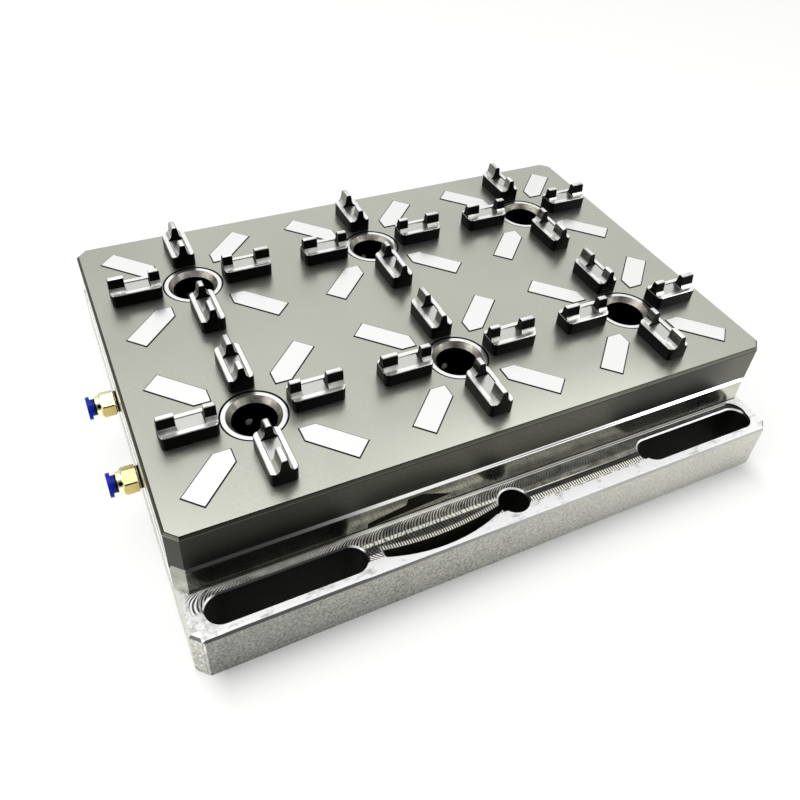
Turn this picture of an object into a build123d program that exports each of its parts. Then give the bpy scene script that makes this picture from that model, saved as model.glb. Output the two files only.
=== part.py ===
from build123d import *
import os

os.makedirs("parts", exist_ok=True)

# Six-station air-operated chuck for small pallets.
# Origin: centre of the base underside. X runs along the long side, -Y is the front, +Z is up.
# All sizes are in millimetres.

# Stations and their air cylinders
pitch_x = 100.0
pitch_y = 100.0
columns = 3
rows = 2
cylinder_bore_radius = 36.0

# Plate stack: base, cylinder plate and top plate
edge_wall = 14.0
base_thickness = 26.0
cylinder_thickness = 17.0
top_thickness = 20.0
corner_chamfer = 5.0
base_edge_chamfer = 1.0
cylinder_edge_chamfer = 2.6
top_edge_chamfer = 1.2

# Clamping ledges that the base shows in front of and behind the upper plates
ledge_depth = 22.5
slot_from_edge = 11.8
slot_width = 14.5
slot_length = 69.8
slot_end_margin = 6.7
lift_hole_diameter = 14.6
ledge_row_offset = 1.1
hole_rim_chamfer = 0.7
gutter_width = 14.8
gutter_depth = 1.0
gutter_left_margin = 7.0
gutter_right_margin = 5.0
pocket_arc_radius = 78.0
pocket_back_radius = 150.0
pocket_centre_x = -39.0
pocket_reach = 5.2
pocket_width = 6.6
pocket_left_half = 26.5
pocket_depth = 20.0

# Cage: the fixed sleeve in which a pallet's spigot is located and locked
cage_radius = 14.3
cage_bore_radius = 10.05
cage_mouth_radius = 12.2
cage_mouth_depth = 2.5
cage_bore_depth = 33.0
cage_seat_depth = 10.0
cage_seat_clearance = 0.02
cage_top_recess = 0.2
ring_gap = 0.9

# Seal ring between the cage and the top plate
seal_height = 2.0
seal_from_top = 3.2
seal_step = 0.5
seal_clearance = 0.03

# Locking pins, pushed inwards through the cage wall by the piston's cone
pins_per_station = 3
pin_from_top = 14.5
pin_length = 7.8
pin_radius = 3.0
pin_nose_radius = 1.5
pin_nose_cone = 3.0
pin_setback = 0.15
pin_clearance = 0.05
pin_travel = 2.0

# Pistons
piston_fit = 0.05
piston_head = 7.0
piston_rest_gap = 0.3
piston_stroke = 5.0
hub_radius = 22.0
hub_clearance = 0.5
hub_height = 17.2
cam_clearance = 0.04

# Air channels milled in the joint faces, and drilled ports
channel_width = 4.0
channel_depth = 3.0
channel_offset = 10.0
channel_reach = 24.0
port_radius = 2.0
port_inset = 9.0
port_drill_past = 3.0
riser_radius = 1.5
port_thread_radius = 4.85
port_thread_depth = 7.0

# Screws that hold the stack together
screw_corner_inset = 12.0
screw_shank_radius = 4.0
screw_head_radius = 6.5
screw_head_height = 8.0
screw_length = 45.0
screw_hole_clearance = 0.5
screw_thread_clearance = 0.02
screw_counterbore_depth = 9.0
screw_hole_spare = 2.0

# Centring posts around each cage
post_start = 16.0
post_length = 24.5
post_width = 12.0
post_height = 7.0
post_corner_radius = 2.25
inner_rib_length = 5.0
outer_rib_length = 7.5
rib_foot_half = 3.4
rib_shoulder_half = 2.0
rib_shoulder_height = 1.9
rib_top_half = 1.3
rib_crown_half = 0.6
rib_side_height = 5.6
rib_crown_height = 6.6
post_key_width = 8.0
post_key_length = 16.0
post_key_depth = 3.0
post_key_clearance = 0.02
post_key_bottom_gap = 0.3

# Ground height pads between the posts
pad_tip = 20.9
pad_end = 50.7
pad_width = 10.6
pad_height = 0.4

# Push-in air fittings on the left face
fitting_front_y = -40.0
fitting_back_y = 10.0
tube_radius = 3.1
fitting_gasket_thickness = 1.6
fitting_gasket_radius = 5.2
fitting_stud_radius = 4.8
fitting_stud_length = 6.5
fitting_hex_across_flats = 11.0
fitting_hex_length = 6.4
fitting_shoulder_length = 1.9
fitting_shoulder_radius = 5.5
fitting_nose_radius = 5.1
fitting_socket_depth = 11.7
collar_neck_radius = 4.0
collar_fit = 0.05
collar_neck_in_body = 4.4
collar_spare_depth = 1.3
collar_gap = 2.3
collar_flange_radius = 5.5
collar_flange_thickness = 1.7

# Heights and places worked out from the sizes above
plate_length = (columns - 1) * pitch_x + 2 * (cylinder_bore_radius + edge_wall)
plate_width = (rows - 1) * pitch_y + 2 * (cylinder_bore_radius + edge_wall)
base_top = base_thickness
cylinder_top = base_top + cylinder_thickness
face_z = cylinder_top + top_thickness
base_width = plate_width + 2 * ledge_depth
slot_x = plate_length / 2 - slot_end_margin - slot_length / 2
slot_y = base_width / 2 - slot_from_edge
gutter_left = gutter_left_margin - plate_length / 2
gutter_right = plate_length / 2 - gutter_right_margin
cage_bottom = base_top - cage_seat_depth
cage_floor = face_z - cage_bore_depth
cage_body_radius = cage_radius + seal_step
lip_radius = cage_radius + ring_gap
pin_z = face_z - pin_from_top
pin_nose_rest = cage_bore_radius + pin_setback
pin_tail = pin_nose_rest + pin_length
piston_bottom = base_top + piston_rest_gap
head_top = piston_bottom + piston_head
hub_top = head_top + hub_height
cavity_top = hub_top + piston_stroke + hub_clearance
cam_slope = pin_travel / piston_stroke
fitting_z = base_top + cylinder_thickness / 2
port_x = -plate_length / 2 + port_inset

MIN_Z = (Align.CENTER, Align.CENTER, Align.MIN)


def station_centres():
    """Centres of the stations, front row first, each row from left to right."""
    centres = []
    for row in range(rows):
        for column in range(columns):
            x = (column - (columns - 1) / 2) * pitch_x
            y = (row - (rows - 1) / 2) * pitch_y
            centres.append((x, y))
    return centres


def rod(x, y, radius, z_low, z_high):
    """An upright cylinder between two heights."""
    return Pos(x, y, z_low) * Cylinder(radius, z_high - z_low, align=MIN_Z)


def turned_z(points):
    """A solid turned about Z from (radius, height) points."""
    outline = Polyline(*[(r, 0, z) for r, z in points], close=True)
    return revolve(make_face(outline), Axis.Z)


def turned_x(points):
    """A solid turned about X from (place along X, radius) points."""
    outline = Polyline(*[(x, r, 0) for x, r in points], close=True)
    return revolve(make_face(outline), Axis.X)


def plate(width, z, thickness, edge_chamfer):
    """A flat plate with bevelled corners and a bevelled top edge."""
    body = Pos(0, 0, z) * Box(plate_length, width, thickness, align=MIN_Z)
    body = chamfer(body.edges().filter_by(Axis.Z), corner_chamfer)
    return chamfer(body.faces().sort_by(Axis.Z)[-1].edges(), edge_chamfer)


def screw_places():
    """Screws at the four corners and between the columns."""
    corner_x = plate_length / 2 - screw_corner_inset
    corner_y = plate_width / 2 - screw_corner_inset
    places = [(sx * corner_x, sy * corner_y) for sx in (-1, 1) for sy in (-1, 1)]
    return places + [(-pitch_x / 2, 0), (pitch_x / 2, 0)]


def channels(z_low, z_high, main_y, start_y):
    """One milled air channel along the plate, with a branch across to each pair of cylinders."""
    depth = z_high - z_low
    end_x = (columns - 1) / 2 * pitch_x
    run = end_x - port_x + channel_width
    cut = Pos(port_x - channel_width / 2, main_y, z_low) * Box(
        run, channel_width, depth, align=(Align.MIN, Align.CENTER, Align.MIN))
    if start_y != main_y:
        link = abs(start_y - main_y) + channel_width
        cut += Pos(port_x, (start_y + main_y) / 2, z_low) * Box(
            channel_width, link, depth, align=MIN_Z)
    for column in range(columns):
        x = (column - (columns - 1) / 2) * pitch_x
        cut += Pos(x, 0, z_low) * Box(channel_width, 2 * channel_reach, depth, align=MIN_Z)
    return cut


def gutter():
    """The shallow flat channel that one pass of an end mill leaves along the foot of the front wall."""
    length = gutter_right - gutter_left
    middle = (gutter_left + gutter_right) / 2
    band = extrude(SlotOverall(length, gutter_width), gutter_depth)
    return Pos(middle, -plate_width / 2 - gutter_width / 2, base_top - gutter_depth) * band


def bevelled_rims():
    """Bevels round the front slots and hole, as far as their rims lie in the gutter's floor."""
    floor_z = base_top - gutter_depth
    opening = Pos(ledge_row_offset, -slot_y, 0) * Circle(lift_hole_diameter / 2)
    for end in (-1, 1):
        opening += Pos(ledge_row_offset + end * slot_x, -slot_y, 0) * SlotOverall(slot_length, slot_width)
    rims = extrude(Pos(0, 0, floor_z - hole_rim_chamfer) * opening, hole_rim_chamfer, taper=-45)
    in_gutter = Pos(0, -plate_width / 2, floor_z - hole_rim_chamfer) * Box(
        plate_length, gutter_width, hole_rim_chamfer, align=(Align.CENTER, Align.MAX, Align.MIN))
    return rims & in_gutter


def relief_pocket():
    """The crescent-shaped pocket that runs from near the left slot into the round hole."""
    front = plate_width / 2 + gutter_width + pocket_reach
    back = front - pocket_width
    disc = Pos(pocket_centre_x, -front + pocket_arc_radius, base_top - pocket_depth) * Cylinder(
        pocket_arc_radius, pocket_depth, align=MIN_Z)
    core = Pos(pocket_centre_x, -back + pocket_back_radius, base_top - pocket_depth) * Cylinder(
        pocket_back_radius, pocket_depth, align=MIN_Z)
    keep = Pos(pocket_centre_x - pocket_left_half, -front, base_top - pocket_depth) * Box(
        pocket_left_half - pocket_centre_x, 2 * pocket_width, pocket_depth, align=Align.MIN)
    return (disc - core) & keep


def base_plate():
    body = plate(base_width, 0, base_thickness, base_edge_chamfer)
    for side in (-1, 1):
        for end in (-1, 1):
            slot = extrude(SlotOverall(slot_length, slot_width), base_thickness)
            body -= Pos(ledge_row_offset + end * slot_x, side * slot_y, 0) * slot
        body -= rod(ledge_row_offset, side * slot_y, lift_hole_diameter / 2, 0, base_thickness)
    body -= gutter()
    body -= bevelled_rims()
    body -= relief_pocket()
    for x, y in station_centres():
        body -= rod(x, y, cage_body_radius + cage_seat_clearance, cage_bottom, base_top)
    for x, y in screw_places():
        body -= rod(x, y, screw_shank_radius + screw_hole_clearance, 0, base_top)
        body -= rod(x, y, screw_head_radius + screw_hole_clearance, 0, screw_counterbore_depth)
    body -= channels(base_top - channel_depth, base_top, -channel_offset, fitting_front_y)
    return body


def cylinder_plate():
    body = plate(plate_width, base_top, cylinder_thickness, cylinder_edge_chamfer)
    for x, y in station_centres():
        body -= rod(x, y, cylinder_bore_radius, base_top, cylinder_top)
    for x, y in screw_places():
        body -= rod(x, y, screw_shank_radius + screw_hole_clearance, base_top, cylinder_top)
    left = -plate_length / 2
    drill_end = port_inset + port_drill_past
    for y in (fitting_front_y, fitting_back_y):
        body -= Pos(left, y, fitting_z) * turned_x([
            (0, 0), (0, port_thread_radius), (port_thread_depth, port_thread_radius),
            (port_thread_depth, port_radius), (drill_end, port_radius), (drill_end, 0)])
    body -= rod(port_x, fitting_front_y, riser_radius, base_top, fitting_z)
    body -= rod(port_x, fitting_back_y, riser_radius, fitting_z, cylinder_top)
    return body


def pad(angle):
    """One ground pad: a bar pointed towards the station's centre."""
    half = pad_width / 2
    outline = Polyline((pad_tip, 0), (pad_tip + half, half), (pad_end, half),
                       (pad_end, -half), (pad_tip + half, -half), close=True)
    return Rot(0, 0, angle) * extrude(make_face(outline), pad_height)


def key_pocket(angle):
    """The pocket that takes one centring post's key."""
    middle = post_start + post_length / 2
    width = post_key_width + 2 * post_key_clearance
    length = post_key_length + 2 * post_key_clearance
    return Rot(0, 0, angle) * (Pos(middle, 0, -post_key_depth - post_key_bottom_gap) * Box(
        length, width, post_key_depth + post_key_bottom_gap, align=MIN_Z))


def top_plate():
    body = plate(plate_width, cylinder_top, top_thickness, top_edge_chamfer)
    for x, y in station_centres():
        body -= rod(x, y, lip_radius, cavity_top, face_z)
        body -= rod(x, y, hub_radius + hub_clearance, cylinder_top, cavity_top)
        for quarter in range(4):
            body -= Pos(x, y, face_z) * key_pocket(90 * quarter)
            body += Pos(x, y, face_z) * pad(90 * quarter + 45)
    hole_top = screw_counterbore_depth + screw_length + screw_hole_spare
    for x, y in screw_places():
        body -= rod(x, y, screw_shank_radius + screw_thread_clearance, cylinder_top, hole_top)
    body -= channels(cylinder_top, cylinder_top + channel_depth, channel_offset, fitting_back_y)
    return body


def centring_post():
    """One post: a low block with two crowned ribs and a flat floor between them."""
    block = Pos(post_start, 0, 0) * Box(
        post_length, post_width, post_height, align=(Align.MIN, Align.CENTER, Align.MIN))
    block = fillet(block.edges().filter_by(Axis.Z), post_corner_radius)
    half = [(rib_foot_half, -1.0), (rib_foot_half, 0), (rib_shoulder_half, rib_shoulder_height),
            (rib_top_half, rib_side_height), (rib_crown_half, rib_crown_height)]
    outline = [(0, y, post_height + z) for y, z in half]
    outline += [(0, -y, post_height + z) for y, z in reversed(half)]
    section = make_face(Polyline(*outline, close=True))
    block += Pos(post_start, 0, 0) * extrude(section, inner_rib_length, dir=(1, 0, 0))
    end = post_start + post_length - outer_rib_length
    block += Pos(end, 0, 0) * extrude(section, outer_rib_length, dir=(1, 0, 0))
    key = Pos(post_start + post_length / 2, 0, -post_key_depth) * Box(
        post_key_length, post_key_width, post_key_depth, align=MIN_Z)
    return block + key


def station_posts(x, y):
    one = centring_post()
    return [Pos(x, y, face_z) * Rot(0, 0, 90 * quarter) * one for quarter in range(4)]


def cage(x, y):
    """The sleeve with a conical mouth, a step for the seal and tapered holes for the pins."""
    top = face_z - cage_top_recess
    step = face_z - seal_from_top - seal_height
    sleeve = turned_z([
        (0, cage_bottom), (cage_body_radius, cage_bottom), (cage_body_radius, step),
        (cage_radius, step), (cage_radius, top), (cage_mouth_radius, top),
        (cage_bore_radius, top - cage_mouth_depth), (cage_bore_radius, cage_floor),
        (0, cage_floor)])
    seat = pin_nose_rest + pin_nose_cone - pin_travel - pin_clearance
    taper = (pin_radius - pin_nose_radius) / pin_nose_cone
    inside = cage_bore_radius - 1.5
    outside = cage_body_radius + 1
    hole = turned_x([
        (inside, 0), (inside, pin_radius + pin_clearance - taper * (seat - inside)),
        (seat, pin_radius + pin_clearance), (outside, pin_radius + pin_clearance), (outside, 0)])
    for turn in pin_angles():
        sleeve -= Pos(0, 0, pin_z) * Rot(0, 0, turn) * hole
    return Pos(x, y, 0) * sleeve


def pin_angles():
    """Directions of the pins from the cage's axis, the first towards the back."""
    return [90 + 360 * number / pins_per_station for number in range(pins_per_station)]


def locking_pin():
    """A pin that lies along X with its tapered nose towards the station's centre."""
    nose = pin_nose_rest
    return turned_x([
        (nose, 0), (nose, pin_nose_radius), (nose + pin_nose_cone, pin_radius),
        (pin_tail, pin_radius), (pin_tail, 0)])


def pins_facing(turn):
    """The pins of all stations that lie in the same direction from their station's centre."""
    one = locking_pin()
    return [Pos(x, y, pin_z) * Rot(0, 0, turn) * one for x, y in station_centres()]


def piston(x, y):
    """A ring piston whose hub carries the cone that drives the pins."""
    outer = cylinder_bore_radius - piston_fit
    guide = cage_body_radius + piston_fit
    cone_at_pin = pin_tail + cam_slope * pin_radius + cam_clearance
    cone_top = cone_at_pin + cam_slope * (hub_top - pin_z)
    cone_start = pin_z - (cone_at_pin - guide) / cam_slope
    return Pos(x, y, 0) * turned_z([
        (guide, piston_bottom), (outer, piston_bottom), (outer, head_top),
        (hub_radius, head_top), (hub_radius, hub_top), (cone_top, hub_top),
        (guide, cone_start)])


def seal_ring(x, y):
    inner = cage_radius + seal_clearance
    outer = lip_radius - seal_clearance
    low = face_z - seal_from_top - seal_height
    high = face_z - seal_from_top
    return Pos(x, y, 0) * turned_z([(inner, low), (outer, low), (outer, high), (inner, high)])


def stack_screw(x, y):
    head_low = screw_counterbore_depth - screw_head_height
    return Pos(x, y, 0) * turned_z([
        (0, head_low), (screw_head_radius, head_low), (screw_head_radius, screw_counterbore_depth),
        (screw_shank_radius, screw_counterbore_depth),
        (screw_shank_radius, screw_counterbore_depth + screw_length),
        (0, screw_counterbore_depth + screw_length)])


def fitting_body(y):
    """The brass body: threaded stud, hexagon and round shoulder, with the tube socket inside."""
    hex_start = fitting_gasket_thickness
    hex_end = hex_start + fitting_hex_length
    end = hex_end + fitting_shoulder_length
    corner = fitting_hex_across_flats / 3 ** 0.5
    core = turned_x([
        (-fitting_stud_length, 0), (-fitting_stud_length, fitting_stud_radius),
        (hex_start, fitting_stud_radius), (hex_start, fitting_shoulder_radius),
        (hex_end, fitting_shoulder_radius), (end, fitting_nose_radius), (end, 0)])
    hexagon = RegularPolygon(corner, 6, rotation=30)
    prism = extrude(Plane.YZ.offset(hex_start) * hexagon, fitting_hex_length)
    rounding = turned_x([
        (hex_start, 0), (hex_start, corner), (hex_end - 1, corner),
        (hex_end, fitting_shoulder_radius), (hex_end, 0)])
    body = core + (prism & rounding)
    pocket = collar_neck_in_body + collar_spare_depth
    body -= turned_x([
        (-fitting_stud_length, 0), (-fitting_stud_length, port_radius),
        (end - fitting_socket_depth, port_radius), (end - fitting_socket_depth, tube_radius),
        (end - pocket, tube_radius), (end - pocket, collar_neck_radius + collar_fit),
        (end, collar_neck_radius + collar_fit), (end, 0)])
    return Pos(-plate_length / 2, y, fitting_z) * Rot(0, 0, 180) * body


def release_collar(y):
    """The push ring that lets go of the tube."""
    end = fitting_gasket_thickness + fitting_hex_length + fitting_shoulder_length
    flange = end + collar_gap
    tip = flange + collar_flange_thickness
    ring = turned_x([
        (end - collar_neck_in_body, tube_radius), (end - collar_neck_in_body, collar_neck_radius),
        (flange, collar_neck_radius), (flange, collar_flange_radius),
        (tip, collar_flange_radius), (tip, tube_radius)])
    return Pos(-plate_length / 2, y, fitting_z) * Rot(0, 0, 180) * ring


def fitting_gasket(y):
    ring = turned_x([
        (0, fitting_stud_radius), (0, fitting_gasket_radius),
        (fitting_gasket_thickness, fitting_gasket_radius),
        (fitting_gasket_thickness, fitting_stud_radius)])
    return Pos(-plate_length / 2, y, fitting_z) * Rot(0, 0, 180) * ring


def save(name, shapes):
    """Writes one node; a group of like pieces is kept as separate solids."""
    pieces = []
    for shape in shapes:
        pieces += list(shape.solids())
    whole = pieces[0] if len(pieces) == 1 else Compound(children=pieces)
    export_step(whole, f"parts/{name}.step")


save("base_plate", [base_plate()])
save("cylinder_plate", [cylinder_plate()])
save("top_plate", [top_plate()])
for number, (x, y) in enumerate(station_centres(), start=1):
    save(f"centring_posts_{number}", station_posts(x, y))
    save(f"pin_cage_{number}", [cage(x, y)])
    save(f"piston_{number}", [piston(x, y)])
for number, turn in enumerate(pin_angles(), start=1):
    save(f"locking_pins_{number}", pins_facing(turn))
save("bore_seals", [seal_ring(x, y) for x, y in station_centres()])
save("stack_screws", [stack_screw(x, y) for x, y in screw_places()])
for place, y in (("front", fitting_front_y), ("back", fitting_back_y)):
    save(f"fitting_body_{place}", [fitting_body(y)])
    save(f"release_collar_{place}", [release_collar(y)])
save("fitting_gaskets", [fitting_gasket(y) for y in (fitting_front_y, fitting_back_y)])
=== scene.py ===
import math
import bmesh
import bpy
from mathutils import Matrix, Quaternion, Vector


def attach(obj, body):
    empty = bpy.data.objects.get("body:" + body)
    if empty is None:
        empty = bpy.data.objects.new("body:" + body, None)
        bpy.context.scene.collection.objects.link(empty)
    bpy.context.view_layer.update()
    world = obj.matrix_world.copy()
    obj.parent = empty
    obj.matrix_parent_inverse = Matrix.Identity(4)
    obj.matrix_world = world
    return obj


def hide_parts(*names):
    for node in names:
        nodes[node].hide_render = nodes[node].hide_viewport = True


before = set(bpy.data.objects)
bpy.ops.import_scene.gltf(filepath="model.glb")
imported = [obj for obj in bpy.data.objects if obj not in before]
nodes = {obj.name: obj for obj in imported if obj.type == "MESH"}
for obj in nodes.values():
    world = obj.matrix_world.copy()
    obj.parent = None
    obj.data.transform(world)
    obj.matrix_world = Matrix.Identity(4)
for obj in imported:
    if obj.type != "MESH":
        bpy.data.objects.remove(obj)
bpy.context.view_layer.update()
MM = 0.001

# Camera: the photograph's place, from the front left and above.
# It looks down at the clamping face and is tipped a little to the left.
camera_azimuth = math.radians(-29.27)
camera_elevation = math.radians(41.5)
camera_roll = math.radians(5.076)
camera_place = Vector((-160.20, -283.72, 311.58)) * MM
camera_lens = 35.6
camera_shift = (-0.0051, -0.0570)

camera_data = bpy.data.cameras.new("photo_camera")
camera_data.lens = camera_lens
camera_data.sensor_width = 36.0
camera_data.shift_x, camera_data.shift_y = camera_shift
camera_data.clip_start = 0.01
camera_data.clip_end = 20.0
camera = bpy.data.objects.new("photo_camera", camera_data)
bpy.context.scene.collection.objects.link(camera)
bpy.context.scene.camera = camera
to_camera = Vector((math.sin(camera_azimuth) * math.cos(camera_elevation),
                    -math.cos(camera_azimuth) * math.cos(camera_elevation),
                    math.sin(camera_elevation)))
camera.rotation_mode = "QUATERNION"
level = (-to_camera).to_track_quat("-Z", "Y")
camera.rotation_quaternion = level @ Quaternion((0.0, 0.0, 1.0), camera_roll)
camera.location = camera_place
bpy.context.scene.view_settings.view_transform = "Standard"


# Studio: a pale floor that runs out of sight and a pale room around it.
# The room is bright overhead, duller near the horizon and dark round the photographer.
def new_material(name):
    """A material with an empty node tree and its output."""
    material = bpy.data.materials.new(name)
    material.use_nodes = True
    material.node_tree.nodes.clear()
    output = material.node_tree.nodes.new("ShaderNodeOutputMaterial")
    return material, material.node_tree, output


def link(tree, start, start_socket, end, end_socket):
    tree.links.new(start.outputs[start_socket], end.inputs[end_socket])


def calc(tree, operation, first, second=None):
    """A maths node fed by sockets or plain numbers."""
    node = tree.nodes.new("ShaderNodeMath")
    node.operation = operation
    for index, feed in enumerate((first, second)):
        if isinstance(feed, (int, float)):
            node.inputs[index].default_value = feed
        elif feed is not None:
            tree.links.new(feed, node.inputs[index])
    return node.outputs[0]


def ramp(tree, feed, low, high, low_at=0.0, high_at=1.0):
    """Turns a value into a number that runs between low and high."""
    node = tree.nodes.new("ShaderNodeMapRange")
    node.inputs["From Min"].default_value = low_at
    node.inputs["From Max"].default_value = high_at
    node.inputs["To Min"].default_value = low
    node.inputs["To Max"].default_value = high
    tree.links.new(feed, node.inputs["Value"])
    return node.outputs["Result"]


def blend_colours(tree, feed, first, second):
    """A colour between two others, which may be sockets or plain colours."""
    node = tree.nodes.new("ShaderNodeMix")
    node.data_type = "RGBA"
    tree.links.new(feed, node.inputs["Factor"])
    for name, colour in (("A", first), ("B", second)):
        if isinstance(colour, tuple):
            node.inputs[name].default_value = (*colour, 1.0)
        else:
            tree.links.new(colour, node.inputs[name])
    return node.outputs["Result"]


def length_of(tree, *sides):
    """The length of a line, from its parts along the axes."""
    total = None
    for side in sides:
        square = calc(tree, "MULTIPLY", side, side)
        total = square if total is None else calc(tree, "ADD", total, square)
    return calc(tree, "SQRT", total)


floor_size = 6.0
floor_colour = (0.93, 0.93, 0.92)
background_white = (0.985, 0.985, 0.975, 1.0)
floor_white_share = 0.62
shadow_share = 0.05
painted_shadow_grey = (0.60, 0.60, 0.59)
# The shadow's edges in metres: axis, distance from the middle, and length of the fade
shadow_edges = (("X", 0.138, 0.014), ("Y", 0.1225, 0.0275))

floor_mesh = bpy.data.meshes.new("floor")
reach = floor_size / 2
floor_mesh.from_pydata([(-reach, -reach, 0), (reach, -reach, 0), (reach, reach, 0), (-reach, reach, 0)],
                       [], [(0, 1, 2, 3)])
floor = bpy.data.objects.new("floor", floor_mesh)
bpy.context.scene.collection.objects.link(floor)
floor_material, tree, output = new_material("pale_floor")
# Close to the chuck the floor keeps more of its own shadow, and its colour turns to a painted shadow grey;
# both fade with the distance
floor_place = tree.nodes.new("ShaderNodeTexCoord")
floor_parts = tree.nodes.new("ShaderNodeSeparateXYZ")
link(tree, floor_place, "Object", floor_parts, "Vector")
past_edges = []
for axis, edge, fade in shadow_edges:
    from_middle = calc(tree, "ABSOLUTE", floor_parts.outputs[axis])
    past_edges.append(ramp(tree, from_middle, 0.0, 1.0, edge, edge + fade))
distance = length_of(tree, *past_edges)
white_share = ramp(tree, distance, shadow_share, floor_white_share)
matt = tree.nodes.new("ShaderNodeBsdfDiffuse")
tree.links.new(blend_colours(tree, distance, painted_shadow_grey, floor_colour), matt.inputs["Color"])
glow = tree.nodes.new("ShaderNodeEmission")
glow.inputs["Color"].default_value = background_white
rays = tree.nodes.new("ShaderNodeLightPath")
seen = calc(tree, "MAXIMUM", rays.outputs["Is Camera Ray"], rays.outputs["Is Transmission Ray"])
mixed = tree.nodes.new("ShaderNodeMixShader")
tree.links.new(calc(tree, "MULTIPLY", seen, white_share), mixed.inputs["Fac"])
link(tree, matt, "BSDF", mixed, 1)
link(tree, glow, "Emission", mixed, 2)
link(tree, mixed, "Shader", output, "Surface")
floor_mesh.materials.append(floor_material)

room_overhead = (1.0, 1.0, 1.0)
room_horizon = (0.50, 0.50, 0.49)
room_strength = 0.96
horizon_height = 0.05
overhead_height = 0.60
dark_side = (-0.35, -0.77, 0.53)
dark_side_level = 0.10
dark_side_starts = 0.79
dark_side_full = 0.855
world = bpy.data.worlds.new("studio")
bpy.context.scene.world = world
world.use_nodes = True
tree = world.node_tree
tree.nodes.clear()
output = tree.nodes.new("ShaderNodeOutputWorld")
direction = tree.nodes.new("ShaderNodeTexCoord")
direction_parts = tree.nodes.new("ShaderNodeSeparateXYZ")
link(tree, direction, "Generated", direction_parts, "Vector")
height = tree.nodes.new("ShaderNodeMapRange")
height.interpolation_type = "SMOOTHSTEP"
height.inputs["From Min"].default_value = horizon_height
height.inputs["From Max"].default_value = overhead_height
link(tree, direction_parts, "Z", height, "Value")
towards_dark = tree.nodes.new("ShaderNodeVectorMath")
towards_dark.operation = "DOT_PRODUCT"
towards_dark.inputs[1].default_value = dark_side
link(tree, direction, "Generated", towards_dark, 0)
strength = ramp(tree, towards_dark.outputs["Value"], room_strength, dark_side_level,
                dark_side_starts, dark_side_full)
room_light = tree.nodes.new("ShaderNodeBackground")
room_colour = blend_colours(tree, height.outputs["Result"], room_horizon, room_overhead)
tree.links.new(room_colour, room_light.inputs["Color"])
tree.links.new(strength, room_light.inputs["Strength"])
room_white = tree.nodes.new("ShaderNodeBackground")
room_white.inputs["Color"].default_value = background_white
rays = tree.nodes.new("ShaderNodeLightPath")
mixed = tree.nodes.new("ShaderNodeMixShader")
link(tree, rays, "Is Camera Ray", mixed, "Fac")
link(tree, room_light, "Background", mixed, 1)
link(tree, room_white, "Background", mixed, 2)
link(tree, mixed, "Shader", output, "Surface")


def softbox(name, place, aim, side, power):
    """A large square soft lamp that shines from a place towards an aim."""
    lamp = bpy.data.lights.new(name, "AREA")
    lamp.shape = "SQUARE"
    lamp.size = side
    lamp.energy = power
    holder = bpy.data.objects.new(name, lamp)
    bpy.context.scene.collection.objects.link(holder)
    holder.location = place
    holder.rotation_mode = "QUATERNION"
    holder.rotation_quaternion = (Vector(aim) - Vector(place)).to_track_quat("-Z", "Y")


stack_middle = (0.0, 0.0, 0.03)
softbox("overhead_light", (-0.25, 0.15, 1.25), stack_middle, side=0.9, power=7.0)
softbox("left_light", (-1.1, -0.15, 0.6), stack_middle, side=0.7, power=4.0)
softbox("right_light", (0.95, -0.75, 0.55), (0.05, -0.1, 0.03), side=0.5, power=3.0)


# Machined steel: what all the steel pieces share.
# Cutters and grinding wheels leave fine lines, and handling leaves faint clouds.
station_pitch = 100.0
plate_half_length = 150.0
plate_half_width = 100.0
pad_tip = 20.9
pad_end = 50.7
pad_half = 5.3


def new_group(name, *results):
    """An empty node group and its output, which gives the named numbers."""
    group = bpy.data.node_groups.new(name, "ShaderNodeTree")
    for result in results:
        group.interface.new_socket(result, in_out="OUTPUT", socket_type="NodeSocketFloat")
    return group, group.nodes.new("NodeGroupOutput")


def add_group(tree, group, **values):
    """Places a node group and sets its named inputs."""
    node = tree.nodes.new("ShaderNodeGroup")
    node.node_tree = group
    for name, value in values.items():
        node.inputs[name.replace("_", " ")].default_value = value
    return node


def place_group():
    """Where a point lies in millimetres, and which way its face looks."""
    group, outside = new_group("place_in_mm", "X", "Y", "Z", "Across", "Forward", "Up")
    place = group.nodes.new("ShaderNodeTexCoord")
    scaled = group.nodes.new("ShaderNodeVectorMath")
    scaled.operation = "SCALE"
    scaled.inputs["Scale"].default_value = 1000.0
    place_parts = group.nodes.new("ShaderNodeSeparateXYZ")
    normal_parts = group.nodes.new("ShaderNodeSeparateXYZ")
    link(group, place, "Object", scaled, 0)
    link(group, scaled, "Vector", place_parts, "Vector")
    link(group, place, "Normal", normal_parts, "Vector")
    for axis, name in (("X", "Across"), ("Y", "Forward"), ("Z", "Up")):
        link(group, place_parts, axis, outside, axis)
        link(group, normal_parts, axis, outside, name)
    return group


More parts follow.
